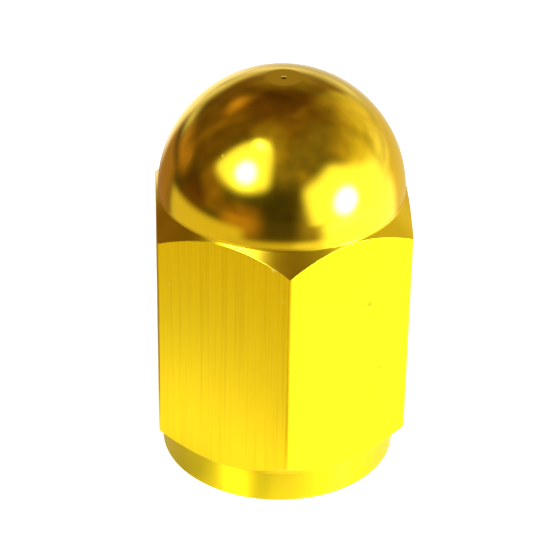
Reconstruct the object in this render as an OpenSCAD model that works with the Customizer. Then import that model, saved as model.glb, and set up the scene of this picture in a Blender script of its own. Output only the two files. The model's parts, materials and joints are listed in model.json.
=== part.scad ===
// Dome-nosed tyre valve cap, turned from hexagonal aluminium bar, with a rubber sealing ring
// at the end of its threaded bore. All sizes are in millimetres.
// The origin is the centre of the mouth face, +Z runs along the axis to the dome,
// and one corner of the hexagon points along -Y.

/* [Hexagonal body] */
// Width across the flats of the bar
across_flats = 10; // [9.6:0.1:12]
// Width of the narrow turned band along each corner of the bar
corner_land = 0.1; // [0.06:0.02:0.4]
// Height of the dome's foot above the mouth
shoulder_h = 11.9; // [11:0.02:14]
// Slope of the chamfer between the dome and the corners, from the level
top_chamfer_angle = 43; // [35:1:50]
// Slope of the chamfer between the collar and the corners, from the level
lower_chamfer_angle = 42; // [35:1:50]

/* [Collar] */
// Height of the round collar at the mouth
collar_h = 1.4; // [0.8:0.05:2.5]
// Depth that the collar is turned below the flats
collar_step = 0.18; // [0.1:0.02:0.4]
// Size of the broken edge round the foot of the collar
mouth_edge = 0.06; // [0.05:0.01:0.2]

/* [Dome] */
// Depth that the dome's foot is turned below the flats
dome_step = 0.07; // [0.03:0.01:0.3]
// Diameter of the small faced spot at the tip
tip_flat_d = 1.4; // [0.8:0.1:2]
// Diameter of the pip that the tool leaves at the centre
tip_pip_d = 0.3; // [0.2:0.05:0.5]
// Height of the pip above the faced spot
tip_pip_h = 0.04; // [0.02:0.01:0.08]

/* [Threaded bore] */
// Wall between the root of the thread and the flats.
// In a 10 mm bar, 1.1 leaves the bore that a standard 7.7 mm valve thread needs
thread_wall = 1.1; // [0.8:0.05:1.6]
// Depth of the thread, from its root to the tapping drill's wall
thread_depth = 0.45; // [0.35:0.05:0.55]
// Length of the threaded wall
thread_length = 8; // [6:0.5:10]
// Width and depth of the countersink at the mouth
countersink = 0.3; // [0.1:0.05:0.4]
// Depth of the ring's groove behind the root of the thread
groove_depth = 0.25; // [0.1:0.05:0.4]
// Angle of the drill's point
drill_point_angle = 118; // [90:1:135]

/* [Sealing ring] */
// Thickness of the ring
ring_thickness = 1.3; // [1:0.1:2]
// Diameter of the hole through the ring
ring_hole_d = 4; // [3:0.1:5]
// Size of the bevel on the ring's four edges
ring_bevel = 0.15; // [0.1:0.01:0.2]
// Radial gap between the ring and its groove
ring_side_gap = 0.05; // [0.03:0.01:0.08]
// Gap between the ring's lower face and the end of the thread
ring_end_gap = 0.1; // [0.05:0.05:0.3]

/* [Hidden] */
$fn = 96;

hex_sides = 6;
half_corner = 180 / hex_sides;
over_cut = 1;

flat_r = across_flats / 2;
flat_end = flat_r * tan(half_corner) - corner_land / (2 * cos(half_corner));
corner_r = norm([flat_r, flat_end]);

collar_r = flat_r - collar_step;
dome_r = flat_r - dome_step;
lower_corner_h = collar_h + (corner_r - collar_r) * tan(lower_chamfer_angle);
upper_corner_h = shoulder_h - (corner_r - dome_r) * tan(top_chamfer_angle);
tip_flat_h = sqrt(dome_r * dome_r - tip_flat_d * tip_flat_d / 4);
tip_h = shoulder_h + tip_flat_h + tip_pip_h;

thread_r = flat_r - thread_wall;
groove_r = thread_r + groove_depth;
drill_r = thread_r - thread_depth;
thread_end_h = countersink + thread_length;
seat_h = thread_end_h + ring_end_gap + ring_thickness;
drill_tip_h = seat_h + drill_r / tan(drill_point_angle / 2);

ring_r = groove_r - ring_side_gap;
ring_hole_r = ring_hole_d / 2;
ring_foot_h = seat_h - ring_thickness;

// Half section of everything that is turned on the outside, from the mouth to the foot of the dome
module body_profile() {
    polygon([
        [0, 0],
        [collar_r - mouth_edge, 0],
        [collar_r, mouth_edge],
        [collar_r, collar_h],
        [corner_r, lower_corner_h],
        [corner_r, upper_corner_h],
        [dome_r, shoulder_h],
        [0, shoulder_h]
    ]);
}

// Half section of the dome, a quarter circle faced off at the tip
module dome_profile() {
    translate([0, shoulder_h])
        intersection() {
            circle(r = dome_r);
            square([dome_r, tip_flat_h]);
        }
}

// Outside of the turned part, before the flats of the bar limit it
module turned_outside() {
    rotate_extrude()
        union() {
            body_profile();
            dome_profile();
        }
    cylinder(h = tip_h, d = tip_pip_d);
}

// The hexagonal bar, with a corner along -Y
module hexagonal_bar() {
    rotate(half_corner)
        linear_extrude(height = tip_h + over_cut)
            circle(r = flat_r / cos(half_corner), $fn = hex_sides);
}

// Countersink, threaded wall, ring groove, seat and drill point, as one stepped hollow
module bore() {
    rotate_extrude()
        polygon([
            [0, -over_cut],
            [thread_r + countersink + over_cut, -over_cut],
            [thread_r, countersink],
            [thread_r, thread_end_h],
            [groove_r, thread_end_h],
            [groove_r, seat_h],
            [drill_r, seat_h],
            [0, drill_tip_h]
        ]);
}

// The aluminium cap, one turned piece
module cap() {
    color([0.93, 0.76, 0.06])
        difference() {
            intersection() {
                turned_outside();
                hexagonal_bar();
            }
            bore();
        }
}

// The rubber ring, whose upper face lies against the seat
module sealing_ring() {
    color([0.09, 0.09, 0.09])
        translate([0, 0, ring_foot_h])
            rotate_extrude()
                polygon([
                    [ring_hole_r + ring_bevel, 0],
                    [ring_r - ring_bevel, 0],
                    [ring_r, ring_bevel],
                    [ring_r, ring_thickness - ring_bevel],
                    [ring_r - ring_bevel, ring_thickness],
                    [ring_hole_r + ring_bevel, ring_thickness],
                    [ring_hole_r, ring_thickness - ring_bevel],
                    [ring_hole_r, ring_bevel]
                ]);
}

cap();
sealing_ring();
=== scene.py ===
import json
import math
import bpy
import numpy as np
from mathutils import Matrix, Vector


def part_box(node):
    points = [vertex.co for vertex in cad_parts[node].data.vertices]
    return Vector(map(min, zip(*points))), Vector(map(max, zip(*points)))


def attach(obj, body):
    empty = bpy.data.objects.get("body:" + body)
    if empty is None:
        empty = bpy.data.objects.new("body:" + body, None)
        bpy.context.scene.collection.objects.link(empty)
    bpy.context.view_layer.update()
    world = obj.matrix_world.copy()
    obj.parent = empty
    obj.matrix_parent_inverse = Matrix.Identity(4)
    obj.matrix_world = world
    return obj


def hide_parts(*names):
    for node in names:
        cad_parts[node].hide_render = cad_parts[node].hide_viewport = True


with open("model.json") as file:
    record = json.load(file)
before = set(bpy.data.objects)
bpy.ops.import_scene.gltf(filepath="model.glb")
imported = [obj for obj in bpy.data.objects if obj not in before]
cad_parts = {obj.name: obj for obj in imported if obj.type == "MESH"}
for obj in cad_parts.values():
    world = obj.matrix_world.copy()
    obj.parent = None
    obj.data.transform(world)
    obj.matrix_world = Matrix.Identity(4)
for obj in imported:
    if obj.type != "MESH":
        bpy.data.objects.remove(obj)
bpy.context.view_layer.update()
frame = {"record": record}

mm = 0.001
capLow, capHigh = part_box("cap")
ringLow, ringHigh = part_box("sealing_ring")
valveThread = next(m for m in frame["record"]["mounts"] if m["name"] == "valve_thread")
print("stage 1: frame loaded, cap", round(capHigh.z / mm, 2), "mm tall")


# Colour and node helpers

white = (1.0, 1.0, 1.0, 1.0)
mixColours = {"data_type": "RGBA"}    # for a Mix node: the colours go in at 6 and 7 and come out at 2
largest = {"operation": "MAXIMUM"}    # for a Math node


def linearColour(hexText):  # sRGB hex to the linear values that a shader socket takes
    parts = np.array([int(hexText[i:i + 2], 16) for i in (1, 3, 5)]) / 255
    linear = np.where(parts <= 0.04045, parts / 12.92, ((parts + 0.055) / 1.055) ** 2.4)
    return (*linear.tolist(), 1.0)


def addNode(tree, kind, settings=None, values=None, links=None):
    # settings are the node's own options, values go on its sockets, links are {socket: another node's output}
    node = tree.nodes.new(kind)
    for key, value in (settings or {}).items():
        setattr(node, key, value)
    for socket, value in (values or {}).items():
        node.inputs[socket].default_value = value
    for socket, output in (links or {}).items():
        tree.links.new(output, node.inputs[socket])
    return node


def newMaterial(name):
    material = bpy.data.materials.new(name)
    material.use_nodes = True
    material.node_tree.nodes.clear()
    return material, material.node_tree


def addGrain(tree, shader, place, scale, strength, depth):
    # An uneven height over the surface, in as many patches to a unit of place as scale says. depth is in mm
    grain = addNode(tree, "ShaderNodeTexNoise", None, {"Scale": scale, "Detail": 2.0}, {"Vector": place})
    bump = addNode(tree, "ShaderNodeBump", None, {"Strength": strength, "Distance": depth * mm},
                   {"Height": grain.outputs["Fac"]})
    tree.links.new(bump.outputs[0], shader.inputs["Normal"])
    return grain.outputs["Fac"]


# Mesh helpers

def smoothMin(a, b, width):  # the smaller of two values, with the crossing eased over width
    near = np.clip(width - np.abs(a - b), 0, None) / width
    return np.minimum(a, b) - near * near * width / 4


def smoothStep(t):  # from 0 to 1, level at both ends
    t = np.clip(t, 0, 1)
    return t * t * (3 - 2 * t)


def roundedPath(corners, easing, steps, guard):
    # A run of straight stretches, one list of corners for every angle round the axis. Each corner is
    # replaced by a quadratic curve that leaves the straight at the easing's distance, and a guard row stands
    # just outside it, so that the stretches shade flat. Returns the rows and the stretch that each is on.
    easedShare = 0.42       # of the shorter stretch, at most
    guardShare = 0.3        # of the easing, at most
    points = np.array(corners)
    stretch = points[1:] - points[:-1]
    length = np.linalg.norm(stretch, axis=2, keepdims=True)
    along = stretch / length
    rows, part = [points[0]], []
    for k in range(1, len(points) - 1):
        reach = np.minimum(easing[k - 1], easedShare * np.minimum(length[k - 1], length[k]))
        side = np.minimum(guard, guardShare * reach)
        enter, leave = points[k] - along[k - 1] * reach, points[k] + along[k] * reach
        rows.append(enter - along[k - 1] * side)
        part.append(k - 1)
        for i in range(steps + 1):
            t = i / steps
            rows.append((1 - t) ** 2 * enter + 2 * t * (1 - t) * points[k] + t * t * leave)
            part.append(k - 1 if i <= steps // 2 else k)
        rows.append(leave + along[k] * side)
        part.append(k)
    rows.append(points[-1])
    part.append(len(points) - 2)
    return np.array(rows), part


def turnedMesh(name, rows, angles, finishes, materials, startPole, endPole):
    # rows holds (radius, height) for each row and angle. Every row is carried round the axis: x and y are
    # the radius times the cosine and sine of the angle. A pole is a point on the axis that closes an end row.
    rowCount, columnCount = rows.shape[:2]
    total = rowCount * columnCount
    around = np.stack([rows[..., 0] * np.cos(angles), rows[..., 0] * np.sin(angles), rows[..., 1]], axis=-1)
    here = np.arange(total).reshape(rowCount, columnCount)
    beside = np.roll(here, -1, axis=1)
    quads = np.stack([here[:-1], here[1:], beside[1:], beside[:-1]], axis=-1).reshape(-1, 4)
    points = [around.reshape(-1, 3)]
    loops = [quads.reshape(-1)]
    sizes = [np.full(len(quads), 4)]
    fills = [np.repeat(finishes, columnCount)]
    ends = ((startPole, 0, 1, finishes[0]), (endPole, rowCount - 1, -1, finishes[-1]))
    for pole, row, order, finish in ends:
        points.append(np.array([[0.0, 0.0, pole]]))
        fan = np.stack([np.full(columnCount, total), here[row], beside[row]], axis=-1)[:, ::order]
        total += 1
        loops.append(fan.reshape(-1))
        sizes.append(np.full(columnCount, 3))
        fills.append(np.full(columnCount, finish))
    loops, sizes, fills = np.concatenate(loops), np.concatenate(sizes), np.concatenate(fills)
    mesh = bpy.data.meshes.new(name)
    mesh.vertices.add(total)
    mesh.vertices.foreach_set("co", (np.concatenate(points) * mm).reshape(-1))
    mesh.loops.add(len(loops))
    mesh.loops.foreach_set("vertex_index", loops)
    mesh.polygons.add(len(sizes))
    mesh.polygons.foreach_set("loop_start", np.concatenate([[0], np.cumsum(sizes)[:-1]]))
    for material in materials:
        mesh.materials.append(material)
    mesh.polygons.foreach_set("material_index", fills)
    mesh.polygons.foreach_set("use_smooth", np.ones(len(sizes), bool))
    mesh.update(calc_edges=True)
    mesh.validate()
    piece = bpy.data.objects.new(name, mesh)
    bpy.context.scene.collection.objects.link(piece)
    return piece


# Finishes of the cap: dyed anodised aluminium, whose colour comes from the dye in the clear oxide layer

anodised = {
    "gold": "#F9D814",          # the dyed layer seen square on
    "collarGold": "#F5DC12",
    "boreGold": "#F6D528",
    "grazingTint": "#FFF6D6",   # the dyed layer seen from the side
    "oxideCoat": 0.45,          # share of the clear oxide's own reflection
    "drawnCoat": 0.12,          # the same on the drawn flats, whose lines break it up
    "collarCoat": 0.14,
    "oxideRoughness": 0.12,
    "polishRoughness": 0.13,
    "drawnRoughness": 0.33,
    "turnedRoughness": 0.3,
    "collarRoughness": 0.4,
    "boreRoughness": 0.34,
    "drawnStretch": 0.5,        # how far the lines draw a reflection out across themselves
    "turnedStretch": 0.85,
    "collarStretch": 0.97,
    "ringTurn": 0.25,           # of a turn, from lines along the axis to rings round it
    "buffPatches": 0.7,         # to the mm, the unevenness that buffing leaves
    "buffStrength": 0.04,
    "buffDepth": 0.02,          # mm
    "drawnLine": 0.075,         # mm between drawn lines, coarser than the real ones so that they show
    "drawnLength": 90,          # length of a line, in widths
    "drawnStrength": 0.115,
    "drawnDepth": 0.01,         # mm
    "deepLines": (0.5, 0.66),   # depths at which a line's dye starts to darken and is darkest, from 0 to 1
    "lineShade": "#F0CD12",     # the dye in the deepest lines
    "scuffShade": "#FFF27A",    # bare metal in a nick
    "scuffRoughness": 0.6,
    "stainShade": "#B6B214",    # dirt in a speck
    "spotCore": 0.3,            # share of a nick's or speck's radius that is worn in full
}

# The small nicks and specks that the photograph shows: place in mm, radius in mm, wear
domeNicks = [
    ((-2.45, -2.91, 14.97), 0.08, 0.45),
    ((-2.98, -2.46, 14.9), 0.06, 0.4),
    ((0.22, -2.26, 16.23), 0.07, 0.5),
    ((-3.3, -2.9, 14.1), 0.05, 0.3),
]
flatNicks = [
    ((-0.63, -5.41, 11.38), 0.13, 0.9),
    ((-4.55, -3.15, 9.41), 0.07, 0.6),
    ((-0.26, -5.62, 10.08), 0.08, 0.6),
]
flatStains = [
    ((3.26, -3.89, 8.8), 0.17, 0.95),
    ((3.76, -3.6, 5.63), 0.13, 0.8),
]


def metalShader(tree, colour, roughness, coat, stretch=0.0, turn=0.0):
    # stretch draws reflections out, across lines that run along the axis, or across rings at a quarter turn
    shader = addNode(tree, "ShaderNodeBsdfPrincipled", values={
        "Base Color": linearColour(colour), "Metallic": 1.0, "Roughness": roughness, "Anisotropic": stretch,
        "Anisotropic Rotation": turn, "Specular Tint": linearColour(anodised["grazingTint"]),
        "Coat Weight": coat, "Coat Roughness": anodised["oxideRoughness"]})
    if stretch:
        tangent = addNode(tree, "ShaderNodeTangent", {"direction_type": "RADIAL", "axis": "Z"})
        tree.links.new(tangent.outputs[0], shader.inputs["Tangent"])
    addNode(tree, "ShaderNodeOutputMaterial", links={"Surface": shader.outputs[0]})
    return shader


def addSpots(tree, place, spots):
    # Share of wear at each point: each spot fades out over its radius, and the strongest one wins
    share = None
    for centre, radius, wear in spots:
        away = addNode(tree, "ShaderNodeVectorMath", {"operation": "DISTANCE"},
                       {1: [c * mm for c in centre]}, {0: place})
        reach = radius * mm
        spot = addNode(tree, "ShaderNodeMapRange", None,
                       {"From Min": reach, "From Max": reach * anodised["spotCore"], "To Max": wear},
                       {"Value": away.outputs["Value"]})
        if share:
            spot = addNode(tree, "ShaderNodeMath", largest, None, {0: spot.outputs[0], 1: share})
        share = spot.outputs[0]
    return share


def wearSurface(tree, shader, place, nicks, stains=None, dye=None):
    # Stains lie on the dye, and nicks go through both to rougher metal. Without a dye it is all plain gold
    if stains:
        stained = addNode(tree, "ShaderNodeMix", mixColours, {7: linearColour(anodised["stainShade"])},
                          {"Factor": addSpots(tree, place, stains), 6: dye})
        dye = stained.outputs[2]
    worn = addSpots(tree, place, nicks)
    shade = addNode(tree, "ShaderNodeMix", mixColours,
                    {6: linearColour(anodised["gold"]), 7: linearColour(anodised["scuffShade"])},
                    {"Factor": worn})
    if dye:
        tree.links.new(dye, shade.inputs[6])
    unworn = shader.inputs["Roughness"].default_value
    rough = addNode(tree, "ShaderNodeMapRange", None,
                    {"To Min": unworn, "To Max": anodised["scuffRoughness"]}, {"Value": worn})
    tree.links.new(shade.outputs[2], shader.inputs["Base Color"])
    tree.links.new(rough.outputs[0], shader.inputs["Roughness"])


def polishedAnodised():
    # Anodised aluminium, turned and buffed before the dye: it mirrors the room, with slightly uneven edges
    material, tree = newMaterial("anodisedAluminiumPolished")
    shader = metalShader(tree, anodised["gold"], anodised["polishRoughness"], anodised["oxideCoat"])
    place = addNode(tree, "ShaderNodeTexCoord").outputs["Object"]
    addGrain(tree, shader, place, anodised["buffPatches"] / mm, anodised["buffStrength"],
             anodised["buffDepth"])
    wearSurface(tree, shader, place, domeNicks)
    return material


def drawnAnodised():
    # Anodised aluminium as the bar was drawn: fine lines along the flats widen each reflection sideways
    material, tree = newMaterial("anodisedAluminiumDrawn")
    shader = metalShader(tree, anodised["gold"], anodised["drawnRoughness"], anodised["drawnCoat"],
                         anodised["drawnStretch"])
    place = addNode(tree, "ShaderNodeTexCoord").outputs["Object"]
    perLine = 1 / (anodised["drawnLine"] * mm)
    lines = addNode(tree, "ShaderNodeMapping", None,
                    {"Scale": (perLine, perLine, perLine / anodised["drawnLength"])}, {"Vector": place})
    height = addGrain(tree, shader, lines.outputs[0], 1.0, anodised["drawnStrength"], anodised["drawnDepth"])
    start, full = anodised["deepLines"]
    deep = addNode(tree, "ShaderNodeMapRange", None, {"From Min": start, "From Max": full}, {"Value": height})
    dye = addNode(tree, "ShaderNodeMix", mixColours,
                  {6: linearColour(anodised["gold"]), 7: linearColour(anodised["lineShade"])},
                  {"Factor": deep.outputs[0]})
    wearSurface(tree, shader, place, flatNicks, flatStains, dye.outputs[2])
    return material


def turnedAnodised():
    # Anodised aluminium as the lathe left it: fine rings that stretch each reflection up and down
    material, tree = newMaterial("anodisedAluminiumTurned")
    metalShader(tree, anodised["gold"], anodised["turnedRoughness"], anodised["oxideCoat"],
                anodised["turnedStretch"], anodised["ringTurn"])
    return material


def collarAnodised():
    # Anodised aluminium turned with a coarser feed: open rings draw each lamp out into an upright streak
    material, tree = newMaterial("anodisedAluminiumCoarseTurned")
    metalShader(tree, anodised["collarGold"], anodised["collarRoughness"], anodised["collarCoat"],
                anodised["collarStretch"], anodised["ringTurn"])
    return material


def boreAnodised():
    # Anodised aluminium inside the bore, drilled and tapped: duller and rougher than the outside
    material, tree = newMaterial("anodisedAluminiumTapped")
    metalShader(tree, anodised["boreGold"], anodised["boreRoughness"], anodised["oxideCoat"])
    return material


# The cap, one turned piece

capSize = {                      # mm
    "flatRadius": (capHigh.x - capLow.x) / 2 / mm,
    "cornerRadius": (capHigh.y - capLow.y) / 2 / mm,
    "tipHeight": capHigh.z / mm,
    "threadRadius": valveThread["dims"]["r_mm"],
    "threadLength": valveThread["dims"]["length_mm"],
    "shoulderHeight": 11.9,      # the dome's foot
    "domeStep": 0.07,            # from the flats in to the dome's foot
    "pipRadius": 0.15,
    "pipHeight": 0.04,
    "tipBlend": 0.012,           # over which the faced spot eases into the dome
    "topSlope": 43.0,            # degrees from the level
    "lowerSlope": 42.0,
    "collarHeight": 1.4,
    "collarStep": 0.18,          # from the flats in to the collar
    "mouthEdge": 0.06,
    "countersink": 0.3,
    "threadDepth": 0.45,
    "threadPitch": 0.794,        # 32 threads to the inch
    "threadFlank": 30.0,         # degrees
    "grooveDepth": 0.25,
    "seatHeight": ringHigh.z / mm,
    "drillAngle": 118.0,
    "cornerBlend": 0.02,         # over which a flat eases into the band along the corner
    "edgeEasing": 0.05,          # how far each sharp edge is broken
    "guard": 0.02,               # from an eased edge to the row that keeps the face beside it flat
    "columnsOnFlat": 36,         # mesh columns across each flat
    "columnsOnCorner": 14,       # mesh columns round each corner
    "cornerBand": 0.95,          # degrees to each side of a corner that get the close columns
    "domeRows": 54,
    "threadRows": 150,
}


def columnAngles(size):
    # Angles of the mesh columns, close together at the six corners, where the surface turns within 0.1 mm
    sixth = math.radians(60)
    band = math.radians(size["cornerBand"])
    corner = np.linspace(-band, band, size["columnsOnCorner"], endpoint=False)
    flat = np.linspace(band, sixth - band, size["columnsOnFlat"], endpoint=False)
    sextant = np.concatenate([corner, flat])
    return np.concatenate([sextant + math.radians(60 * k - 90) for k in range(6)])


def barRadius(size, angles):
    # Radius of the hexagon at each angle, with a corner towards -Y: the flat's radius over the cosine of the
    # angle from the flat's middle, skimmed off at the corner radius
    sixth = math.radians(60)
    fromMiddle = np.mod(angles, sixth)
    fromMiddle = np.minimum(fromMiddle, sixth - fromMiddle)
    return smoothMin(size["flatRadius"] / np.cos(fromMiddle), size["cornerRadius"], size["cornerBlend"])


def domeRows(size, radius, same):
    # A hemisphere, faced flat at the tip, with a smooth pip in its middle. The first rows lie over the pip
    # and the edge of the faced spot
    tipLean = [0.35, 0.7, 1.05, 1.4, 1.75, 2.1, 3.5, 5.5, 7.0, 7.6, 8.2, 8.8, 9.5]    # degrees from the axis
    sideLean = np.linspace(11, 88.6, size["domeRows"])
    lean = np.radians(np.concatenate([tipLean, sideLean]))
    out = radius * np.sin(lean)
    faced = size["tipHeight"] - size["pipHeight"]
    height = smoothMin(faced, size["shoulderHeight"] + radius * np.cos(lean), size["tipBlend"])
    height = height + size["pipHeight"] * (1 - smoothStep(out / size["pipRadius"]))
    return np.stack([out[:, None] * same, height[:, None] * same], axis=-1)


def threadRows(size, angles, mouth, end):
    # A ridge winds round the wall. It rises by one pitch a turn, its crest is a quarter of the pitch wide,
    # and the countersink's cone trims its first turn
    pitch, depth = size["threadPitch"], size["threadDepth"]
    height = np.linspace(size["countersink"], end, size["threadRows"])[:, None]
    fromCrest = np.abs(np.mod(height / pitch - angles / (2 * math.pi), 1) - 0.5) * pitch
    crestHalf = pitch / 8
    flank = depth * math.tan(math.radians(size["threadFlank"]))
    ridge = np.clip((crestHalf + flank - fromCrest) / flank, 0, 1)
    radius = np.maximum(size["threadRadius"] - depth * ridge, mouth - height)
    return np.stack([radius, height * np.ones_like(radius)], axis=-1)


def buildCap(size, materials):
    # Each column runs from the tip over the dome, down the outside, in at the mouth and up the bore
    polished, drawn, turned, coarse, tapped = range(5)
    angles = columnAngles(size)
    bar = barRadius(size, angles)
    same = np.ones_like(angles)
    domeRadius = size["flatRadius"] - size["domeStep"]
    collar = size["flatRadius"] - size["collarStep"]
    shoulder, easing, foot = size["shoulderHeight"], size["edgeEasing"], size["mouthEdge"]
    dome = domeRows(size, domeRadius, same)

    def corner(radius, height):
        return np.stack([radius * same, height * same], axis=-1)

    # Outside: two cones meet the bar's surface, so each flat ends in an arc of its own accord.
    # Each line gives a corner of the profile, how far it is eased, and the finish of the stretch after it
    topCorner = shoulder - (bar - domeRadius) * math.tan(math.radians(size["topSlope"]))
    lowCorner = size["collarHeight"] + (bar - collar) * math.tan(math.radians(size["lowerSlope"]))
    mouth = size["threadRadius"] + size["countersink"]
    sunk = size["countersink"] * 0.98    # the last stretch stops just short of the thread
    outside = [
        (dome[-1], 0, turned),
        (corner(domeRadius, shoulder), easing * 0.7, turned),
        (corner(bar, topCorner), easing * 0.4, drawn),
        (corner(bar, lowCorner), easing * 0.4, turned),
        (corner(collar, size["collarHeight"]), easing * 0.5, coarse),
        (corner(collar, foot), easing, coarse),
        (corner(collar - foot, 0), easing, coarse),
        (corner(mouth, 0), easing, tapped),
        (corner(mouth - sunk, sunk), 0, tapped),
    ]
    corners, eased, finishOf = zip(*outside)
    outsideRows, stretch = roundedPath(corners, eased[1:-1], steps=5, guard=size["guard"])
    outsideFinish = [finishOf[k] for k in stretch]

    # Bore: the thread, and behind it the ring's groove, the seat and the drill point
    threadEnd = size["countersink"] + size["threadLength"]
    thread = threadRows(size, angles, mouth, threadEnd)
    groove = size["threadRadius"] + size["grooveDepth"]
    drill = size["threadRadius"] - size["threadDepth"]
    seat = size["seatHeight"]
    pointSlope = math.tan(math.radians(size["drillAngle"] / 2))
    lead = 0.04          # from the first row out to the groove's wall
    lastRadius = 0.3     # of the last row, round the tip of the drill point
    inner = [
        (corner(groove - lead, threadEnd), 0),
        (corner(groove, threadEnd), 0.02),
        (corner(groove, seat), 0.05),
        (corner(drill, seat), 0.03),
        (corner(lastRadius, seat + (drill - lastRadius) / pointSlope), 0),
    ]
    corners, eased = zip(*inner)
    innerRows, stretch = roundedPath(corners, eased[1:-1], steps=3, guard=size["guard"])

    rows = np.concatenate([dome[:-1], outsideRows, thread, innerRows])
    finishes = [polished] * (len(dome) - 1) + outsideFinish + [tapped] * (len(thread) + len(innerRows))
    return turnedMesh("turnedCap", rows, angles, np.array(finishes[:len(rows) - 1]), materials,
                      size["tipHeight"], seat + drill / pointSlope)


capFinishes = [polishedAnodised(), drawnAnodised(), turnedAnodised(), collarAnodised(), boreAnodised()]
cap = buildCap(capSize, capFinishes)
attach(cap, "root")
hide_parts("cap")
print("stage 2: cap built with", len(cap.data.polygons), "faces")


# The sealing ring

ringSize = {                     # mm
    "outerRadius": (ringHigh.x - ringLow.x) / 2 / mm,
    "holeRadius": 2.0,
    "low": ringLow.z / mm,
    "high": ringHigh.z / mm,
    "squareness": 7.0,           # power of the section's rounded rectangle
    "columns": 120,
    "rows": 48,
}

rubber = {
    "shade": "#1C1C1D",
    "roughness": 0.62,
    "ior": 1.52,
    "grains": 9.0,               # to the mm, coarser than the real grain so that it shows close up
    "grainStrength": 0.25,
    "grainDepth": 0.01,          # mm
}


def mouldedRubber():
    # Nitrile rubber, compression moulded: matt black with a soft sheen and a fine even grain
    material, tree = newMaterial("nitrileRubberMoulded")
    shader = addNode(tree, "ShaderNodeBsdfPrincipled", values={
        "Base Color": linearColour(rubber["shade"]), "Roughness": rubber["roughness"], "IOR": rubber["ior"]})
    addNode(tree, "ShaderNodeOutputMaterial", links={"Surface": shader.outputs[0]})
    place = addNode(tree, "ShaderNodeTexCoord").outputs["Object"]
    addGrain(tree, shader, place, rubber["grains"] / mm, rubber["grainStrength"], rubber["grainDepth"])
    return material


def buildRing(size, material):
    # The section is a rounded rectangle, half its width and height times a power of the cosine and the sine
    # of the angle round it, and is carried round the axis
    angles = np.linspace(0, 2 * math.pi, size["columns"], endpoint=False)
    section = np.linspace(0, 2 * math.pi, size["rows"] + 1)[:-1]
    power = 2 / size["squareness"]
    across = np.sign(np.cos(section)) * np.abs(np.cos(section)) ** power
    upward = np.sign(np.sin(section)) * np.abs(np.sin(section)) ** power
    outer, hole, low, high = size["outerRadius"], size["holeRadius"], size["low"], size["high"]
    radius = ((outer + hole) / 2 + (outer - hole) / 2 * across)[:, None]
    height = ((low + high) / 2 + (high - low) / 2 * upward)[:, None]
    level = height * np.ones_like(angles)
    points = np.stack([radius * np.cos(angles), radius * np.sin(angles), level], axis=-1)
    here = np.arange(size["rows"] * size["columns"]).reshape(size["rows"], size["columns"])
    above, beside = np.roll(here, -1, axis=0), np.roll(here, -1, axis=1)
    quads = np.stack([here, beside, np.roll(above, -1, axis=1), above], axis=-1).reshape(-1, 4)
    mesh = bpy.data.meshes.new("sealingRing")
    mesh.from_pydata((points.reshape(-1, 3) * mm).tolist(), [], quads.tolist())
    mesh.polygons.foreach_set("use_smooth", np.ones(len(quads), bool))
    mesh.materials.append(material)
    mesh.update()
    piece = bpy.data.objects.new("sealingRing", mesh)
    bpy.context.scene.collection.objects.link(piece)
    return piece


ring = buildRing(ringSize, mouldedRubber())
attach(ring, "root")
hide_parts("sealing_ring")
print("stage 3: sealing ring built")


# Camera at the photograph's viewing angle

view = {
    "azimuth": -3.91,            # degrees, so that a corner of the hexagon is a little right of the middle
    "elevation": 31.33,
    "distance": 93.54,           # mm to the point that it is aimed by
    "pixelsPerMm": 24.693,       # at that distance
    "pictureWidth": 550,
    "aimHeight": 8.5,            # mm above the mouth
    "aimRight": 5.4,             # pixels from the picture's middle to that point
    "aimUp": 14.4,
    "roll": 1.09,                # degrees
    "sensorWidth": 36.0,
    "nearest": 0.005,            # m
    "farthest": 5.0,
}


def aimAt(azimuth, elevation):
    # Direction from the axis, at degrees of azimuth from the camera's side and degrees of elevation
    a, e = np.radians(azimuth + view["azimuth"]), np.radians(elevation)
    return np.stack([np.sin(a) * np.cos(e), -np.cos(a) * np.cos(e), np.sin(e) * np.ones_like(a)], axis=-1)


def placeCamera():
    data = bpy.data.cameras.new("camera")
    camera = bpy.data.objects.new("camera", data)
    bpy.context.scene.collection.objects.link(camera)
    data.sensor_width = view["sensorWidth"]
    data.sensor_fit = "HORIZONTAL"
    data.lens = view["sensorWidth"] * view["pixelsPerMm"] * view["distance"] / view["pictureWidth"]
    data.clip_start = view["nearest"]
    data.clip_end = view["farthest"]
    data.shift_x = -view["aimRight"] / view["pictureWidth"]
    data.shift_y = -view["aimUp"] / view["pictureWidth"]
    aim = np.array([0, 0, view["aimHeight"]])
    target = Vector(aim * mm)
    place = Vector((aim + aimAt(0.0, view["elevation"]) * view["distance"]) * mm)
    look = (target - place).to_track_quat("-Z", "Y").to_matrix().to_4x4()
    roll = Matrix.Rotation(math.radians(view["roll"]), 4, "Z")
    camera.matrix_world = Matrix.Translation(place) @ look @ roll
    bpy.context.scene.camera = camera


placeCamera()
print("stage 4: camera placed")


# Floor, lamps and boards

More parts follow.
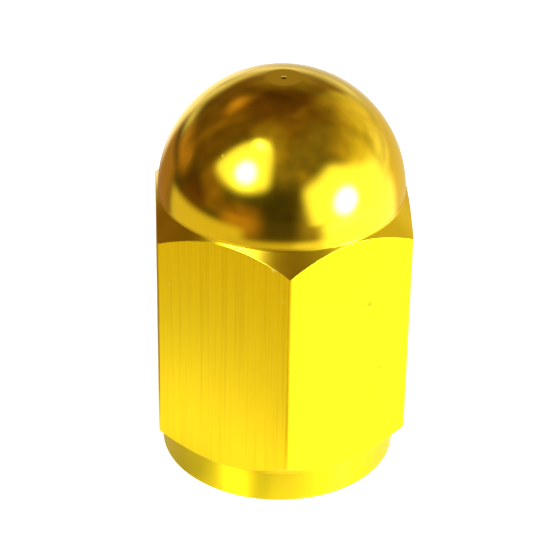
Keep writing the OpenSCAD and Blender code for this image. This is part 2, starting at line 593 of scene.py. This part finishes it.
studio = {
    "lookFrom": 11.9,            # mm, height on the axis that azimuths and elevations are counted from
    "mattShare": 0.56,           # the lamps' light on matt surfaces, where a colour renders about as written
    "unlitShade": "#9A9A9A",     # the world, as matt surfaces see it
    "paperSeen": 0.92,           # the paper's own white, as the camera sees it
    "paperColour": "#A8A8A6",    # what the lamps light, which keeps the shadow
    "paperNear": 21.0,           # mm from the axis to where the boards take over from the zones
    "paperBlend": 6.0,           # mm over which they do
    "paperDrop": 0.01,           # mm from the mouth down to the paper
    "paperLines": 160,           # mesh lines each way
    "paperSpacing": (12.0, 5.0), # mm, and how far they spread out
    "roomRadius": 860.0,         # mm
    "roomFoot": -3.0,            # degrees of elevation, a little under the floor's edge
    "roomLines": (181, 48),      # mesh lines up and across
    "roomShade": "#403830",      # walls in the dark, where no board stands
    "clutter": 5.0,              # patches of light and shade in the room, about this many to a right angle
    "clutterDepth": 0.28,        # how much lighter and darker they are
    "lampGrid": 1.5,             # degrees between a lamp's mesh lines
}

# What the room's walls, shelves and cards are made of or painted; the two wood shades also stand for a
# painted shadow on the paper
roomShades = {
    "darkWood": "#604030",
    "wood": "#806040",
    "greyWall": "#807060",
    "tanWall": "#A08860",
    "terracotta": "#D8A070",
    "creamCard": "#D8C890",
    "warmCard": "#FFF8E8",
    "whiteCard": "#FFFFFF",
}

# The boards round the set, which reflections see, laid out to match what the dome mirrors: shade, how
# brightly it is lit, from and to in degrees of azimuth, from and to in degrees of elevation, and the soft
# width of the edges each way. Azimuth 0 is the camera's side, 90 is to its right, and each board lies over
# the ones before it.
boards = [
    ("wood", 0.9, (-360, 360), (50, 120), (10, 20)),             # ceiling
    ("tanWall", 0.9, (-84, 8), (40, 82), (40, 22)),              # ceiling over the left lamp
    ("wood", 0.6, (-200, -64), (14, 66), (24, 16)),              # wall on the left and behind
    ("darkWood", 1.0, (-200, -118), (50, 80), (44, 14)),         # its top
    ("darkWood", 0.8, (146, 200), (44, 80), (10, 14)),
    ("greyWall", 0.9, (12, 104), (28, 70), (14, 24)),            # wall over the right lamp
    ("terracotta", 1.0, (-146, -126), (40, 50), (20, 17)),       # lit patch on the left wall
    ("wood", 1.1, (-119, -109), (-2, 58), (12, 16)),             # post beside it
    ("wood", 1.1, (-84, -56), (-4, 26), (16, 10)),               # shelf under the left lamp
    ("terracotta", 0.5, (-52, -20), (-16, 8), (20, 14)),
    ("darkWood", 0.8, (-100, -72), (-30, 9), (14, 10)),          # gap to the left of it
    ("greyWall", 1.0, (-8, 14), (30, 54), (14, 16)),             # wall between the lamps
    ("tanWall", 1.0, (20, 33), (26, 42), (12, 12)),              # beside the right lamp
    ("greyWall", 1.0, (16, 34), (-18, 18), (14, 18)),
    ("tanWall", 1.0, (74, 150), (-40, 50), (20, 24)),            # wall on the right
    ("creamCard", 1.0, (76, 154), (-40, 34), (10, 24)),          # card in front of it
    ("warmCard", 1.1, (90, 132), (-40, 14), (20, 16)),           # and its foot, close to the lamp
    ("wood", 1.0, (155, 200), (8, 42), (8, 22)),                 # wall behind
    ("tanWall", 1.2, (-200, -150), (8, 18), (20, 10)),
    ("tanWall", 0.7, (-200, -168), (12, 46), (14, 14)),
    ("warmCard", 0.8, (150, 208), (-2, 14), (10, 14)),           # backdrop, on the right
    ("warmCard", 0.6, (136, 208), (-90, -2), (10, 2)),           # paper before it
    ("warmCard", 0.8, (-172, -134), (2, 10), (20, 12)),          # backdrop, on the left
    ("wood", 1.3, (-160, -116), (-90, -5), (14, 6)),             # painted shadow of the cap on the paper, cast by the right lamp
    ("warmCard", 1.0, (-174, -149), (-20, 2), (14, 10)),         # edge of the paper
    ("terracotta", 0.6, (-134, -104), (0, 14), (14, 12)),        # far edge of the table
    ("creamCard", 0.8, (-112, -32), (-90, -11), (12, 6)),        # paper on the left
    ("creamCard", 0.7, (-44, 44), (-90, -19), (16, 5)),          # paper on the camera's side
    ("warmCard", 0.7, (12, 44), (-90, -20), (12, 5)),
    ("creamCard", 0.9, (118, 160), (-90, -3), (16, 6)),          # paper behind the right lamp
    ("whiteCard", 1.1, (36, 114), (-90, -6), (18, 6)),           # paper under it
]

# The same on the paper near the cap, in mm to the right of the axis and away from the camera. These zones are
# painted light and painted shade on the paper, as reflections see it
paperZones = [
    ("creamCard", 0.8, (-90, 90), (-90, 90), (1, 1)),
    ("whiteCard", 0.8, (7, 90), (-90, 90), (14, 1)),             # painted light from the right lamp on that side
    ("whiteCard", 0.6, (-18, 12), (-13, -3), (8, 5)),
    ("whiteCard", 0.9, (-13, 12), (-9.4, 12), (6, 4)),           # all round the collar
    ("whiteCard", 0.5, (-6.4, -3.4), (-5, 4), (1.5, 1.5)),       # shade on its left
    ("whiteCard", 0.7, (-3, -0.4), (-6.6, -4), (1.2, 1.5)),
    ("whiteCard", 1.2, (-0.2, 6), (-8, -4), (1.2, 1.5)),         # light on its right
    ("darkWood", 0.9, (-40, -9), (-2.5, 30), (3, 2)),            # painted shadow of the cap behind on the left, cast by the right lamp
    ("whiteCard", 1.2, (4, 90), (-60, 22), (7, 14)),             # pool of the right lamp
    ("creamCard", 0.7, (-4, 3), (-60, -10), (4, 3)),
]

# Sheets of light that face the cap. Corners and centres are azimuth and elevation as the dome sees them, and
# corners go clockwise from the lower left.
lamps = [
    {"name": "leftSheet", "distance": 300, "glow": 1.35, "soft": 13,
     "corners": [(-83, 21), (-82, 38), (-73, 60), (-58, 71), (-40, 76), (-20, 74),
                 (-8, 63), (-6, 24), (-22, 15), (-44, 11), (-66, 14)]},
    {"name": "leftBulb", "distance": 294, "glow": 45,
     "centre": (-41.5, 36), "radius": (16.3, 13.2), "edge": 0.6},
    {"name": "leftGlint", "distance": 294, "glow": 9,
     "centre": (-43, 62), "radius": (18, 5), "edge": 0.8},
    {"name": "rightSheet", "distance": 90, "glow": 1.5, "soft": 15,
     "corners": [(24, -20), (14, 4), (14, 32), (38, 42), (58, 48), (82, 37),
                 (98, 28), (116, 18), (116, -20)]},
    {"name": "rightBulb", "distance": 87, "glow": 48,
     "centre": (59.5, 6), "radius": (15.4, 13.8), "edge": 0.55},
]


def softBand(value, edges, soft, fullTurn=None):
    # 1 between the edges and 0 outside them, eased over the soft width across each edge
    low, high = edges
    away = value - (low + high) / 2
    if fullTurn:
        away = np.mod(away + fullTurn / 2, fullTurn) - fullTurn / 2
    return smoothStep(((high - low) / 2 - np.abs(away)) / soft + 0.5)


def paintZones(across, up, zones, shades, fullTurn=None):
    # Each zone in turn covers what is there by its share: its soft band across times its soft band upward
    for name, level, acrossEdges, upEdges, soft in zones:
        share = softBand(across, acrossEdges, soft[0], fullTurn) * softBand(up, upEdges, soft[1])
        shade = level * np.array(linearColour(roomShades[name])[:3])
        shades = shades + share[..., None] * (shade - shades)
    return shades


def paintBoards(azimuth, elevation):
    dark = np.ones((*azimuth.shape, 3)) * np.array(linearColour(studio["roomShade"])[:3])
    return paintZones(azimuth, elevation, boards, dark, 360)


def stageSheet(name, places, shades, material, seenBy, shown=None):
    # A grid of places in mm, with a colour for each, for the floor, the boards or a lamp
    here = np.arange(places.shape[0] * places.shape[1]).reshape(places.shape[:2])
    quads = np.stack([here[:-1, :-1], here[:-1, 1:], here[1:, 1:], here[1:, :-1]], axis=-1).reshape(-1, 4)
    if shown is not None:
        quads = quads[shown.reshape(-1)[quads].max(axis=1) > 0]
    mesh = bpy.data.meshes.new(name)
    mesh.from_pydata((places.reshape(-1, 3) * mm).tolist(), [], quads.tolist())
    mesh.materials.append(material)
    paint = mesh.attributes.new("shade", "FLOAT_COLOR", "POINT")
    opaque = np.ones((*shades.shape[:2], 1))
    paint.data.foreach_set("color", np.concatenate([shades, opaque], axis=-1).reshape(-1))
    sheet = bpy.data.objects.new(name, mesh)
    bpy.context.scene.collection.objects.link(sheet)
    sheet.visible_camera = "camera" in seenBy
    sheet.visible_diffuse = "diffuse" in seenBy
    sheet.visible_glossy = "glossy" in seenBy
    sheet.visible_transmission = "glossy" in seenBy
    sheet.visible_shadow = "shadow" in seenBy


def seenAsBackground(tree):
    # 1 for rays from the camera and those that metal or glass sends on, 0 for light on matt surfaces
    path = addNode(tree, "ShaderNodeLightPath")
    seen = path.outputs["Is Camera Ray"]
    for ray in ("Is Glossy Ray", "Is Transmission Ray"):
        either = addNode(tree, "ShaderNodeMath", largest, None, {0: seen, 1: path.outputs[ray]})
        seen = either.outputs[0]
    return seen


def buildFloor():
    # White paper: the camera sees it plain, and reflections see the tones, painted light and painted shadow
    # that lie on it
    material, tree = newMaterial("whitePaper")
    seen = seenAsBackground(tree)
    fromCamera = addNode(tree, "ShaderNodeLightPath").outputs["Is Camera Ray"]
    painted = addNode(tree, "ShaderNodeAttribute", {"attribute_name": "shade"}).outputs["Color"]
    ownWhite = (*[studio["paperSeen"]] * 3, 1.0)
    shade = addNode(tree, "ShaderNodeMix", mixColours, {7: ownWhite}, {"Factor": fromCamera, 6: painted})
    light = addNode(tree, "ShaderNodeEmission", None, None, {"Color": shade.outputs[2], "Strength": seen})
    tone = addNode(tree, "ShaderNodeMix", mixColours, {7: white}, {"Factor": fromCamera, 6: painted})
    lit = addNode(tree, "ShaderNodeMix", {**mixColours, "blend_type": "MULTIPLY"},
                  {"Factor": 1.0, 7: linearColour(studio["paperColour"])}, {6: tone.outputs[2]})
    paper = addNode(tree, "ShaderNodeBsdfDiffuse", None, None, {"Color": lit.outputs[2]})
    both = addNode(tree, "ShaderNodeAddShader", None, None, {0: light.outputs[0], 1: paper.outputs[0]})
    side = addNode(tree, "ShaderNodeNewGeometry")
    clear = addNode(tree, "ShaderNodeBsdfTransparent")
    shown = addNode(tree, "ShaderNodeMixShader", None, None,
                    {0: side.outputs["Backfacing"], 1: both.outputs[0], 2: clear.outputs[0]})
    addNode(tree, "ShaderNodeOutputMaterial", None, None, {"Surface": shown.outputs[0]})
    material.cycles.emission_sampling = "NONE"
    # The grid's lines lie at the spacing times sinh(t), so they are close together round the cap
    spacing, spread = studio["paperSpacing"]
    lines = spacing * np.sinh(np.linspace(-spread, spread, studio["paperLines"]))
    x, y = np.meshgrid(lines, lines)
    places = np.stack([x, y, np.full_like(x, -studio["paperDrop"])], axis=-1)
    turn = math.radians(view["azimuth"])
    across, up = x * math.cos(turn) + y * math.sin(turn), y * math.cos(turn) - x * math.sin(turn)
    away = np.hypot(across, up)
    near = paintZones(across, up, paperZones, np.ones((*x.shape, 3)))
    far = paintBoards(np.degrees(np.arctan2(across, -up)), np.degrees(np.arctan2(-studio["lookFrom"], away)))
    share = smoothStep((away - studio["paperNear"]) / studio["paperBlend"] + 0.5)[..., None]
    shades = near + share * (far - near)
    stageSheet("floor", places, shades, material, ("camera", "diffuse", "glossy", "shadow"))


def buildWorld():
    world = bpy.data.worlds.new("studioWorld")
    bpy.context.scene.world = world
    world.use_nodes = True
    tree = world.node_tree
    tree.nodes.clear()
    colour = addNode(tree, "ShaderNodeMix", mixColours,
                     {6: linearColour(studio["unlitShade"]), 7: white}, {"Factor": seenAsBackground(tree)})
    sky = addNode(tree, "ShaderNodeBackground", None, {"Strength": 1.0}, {"Color": colour.outputs[2]})
    addNode(tree, "ShaderNodeOutputWorld", None, None, {"Surface": sky.outputs[0]})


def buildRoom():
    # Matt boards all round the set, as half a ball that is sunk a little so that it meets the floor
    material, tree = newMaterial("studioBoards")
    painted = addNode(tree, "ShaderNodeAttribute", {"attribute_name": "shade"})
    place = addNode(tree, "ShaderNodeTexCoord")
    clutter = addNode(tree, "ShaderNodeTexNoise", None,
                      {"Scale": studio["clutter"] / (studio["roomRadius"] * mm), "Detail": 2.0},
                      {"Vector": place.outputs["Object"]})
    depth = studio["clutterDepth"]
    uneven = addNode(tree, "ShaderNodeMapRange", None,
                     {"From Min": 0.3, "From Max": 0.7, "To Min": 1 - depth, "To Max": 1 + depth},
                     {"Value": clutter.outputs["Fac"]})
    light = addNode(tree, "ShaderNodeEmission", None, None,
                    {"Color": painted.outputs["Color"], "Strength": uneven.outputs[0]})
    addNode(tree, "ShaderNodeOutputMaterial", None, None, {"Surface": light.outputs[0]})
    material.cycles.emission_sampling = "NONE"
    columns, lines = studio["roomLines"]
    heights = np.linspace(studio["roomFoot"], 90, lines)
    azimuth, elevation = np.meshgrid(np.linspace(-180, 180, columns), heights)
    places = aimAt(azimuth, elevation) * studio["roomRadius"]
    stageSheet("room", places, paintBoards(azimuth, elevation), material, ("diffuse", "glossy"))


def insideCorners(across, up, corners, soft):
    # Share of light inside straight sides, which fades in over the soft width from each side inwards
    share = np.ones_like(across)
    for (x0, y0), (x1, y1) in zip(corners, np.roll(corners, -1, axis=0)):
        inward = ((across - x0) * (y1 - y0) - (up - y0) * (x1 - x0)) / math.hypot(x1 - x0, y1 - y0)
        share = share * smoothStep(inward / soft)
    return share


def insideEllipse(across, up, centre, radius, edge):
    # Share of light inside an ellipse, which fades in over an edge that is given as a share of its radius
    out = np.hypot((across - centre[0]) / radius[0], (up - centre[1]) / radius[1])
    return smoothStep((1 - out) / edge)


def buildLamp(lamp):
    # Part of a ball round the dome, a grid in azimuth and elevation, clear where its share of light is 0
    material, tree = newMaterial(lamp["name"] + "Diffuser")
    mask = addNode(tree, "ShaderNodeAttribute", {"attribute_name": "shade"})
    strength = addNode(tree, "ShaderNodeMapRange", None,
                       {"To Min": lamp["glow"] * studio["mattShare"], "To Max": lamp["glow"]},
                       {"Value": seenAsBackground(tree)})
    light = addNode(tree, "ShaderNodeEmission", None, {"Color": white}, {"Strength": strength.outputs[0]})
    clear = addNode(tree, "ShaderNodeBsdfTransparent")
    shown = addNode(tree, "ShaderNodeMixShader", None, None,
                    {0: mask.outputs["Fac"], 1: clear.outputs[0], 2: light.outputs[0]})
    addNode(tree, "ShaderNodeOutputMaterial", None, None, {"Surface": shown.outputs[0]})
    if "corners" in lamp:
        low, high = np.min(lamp["corners"], axis=0), np.max(lamp["corners"], axis=0)
    else:
        low, high = np.subtract(lamp["centre"], lamp["radius"]), np.add(lamp["centre"], lamp["radius"])
    step = studio["lampGrid"]
    columns, lines = (np.arange(low[i], high[i] + step, step) for i in (0, 1))
    across, up = np.meshgrid(columns, lines)
    if "corners" in lamp:
        share = insideCorners(across, up, lamp["corners"], lamp["soft"])
    else:
        share = insideEllipse(across, up, lamp["centre"], lamp["radius"], lamp["edge"])
    places = aimAt(across, up) * lamp["distance"] + np.array([0, 0, studio["lookFrom"]])
    share = np.where(places[..., 2] > 0, share, 0)    # nothing below the floor
    stageSheet(lamp["name"], places, share[..., None] * np.ones(3), material, ("diffuse", "glossy"), share)


buildFloor()
buildWorld()
buildRoom()
for lamp in lamps:
    buildLamp(lamp)
bpy.context.scene.view_settings.view_transform = "Standard"
print("stage 5: floor, lamps and boards set up")
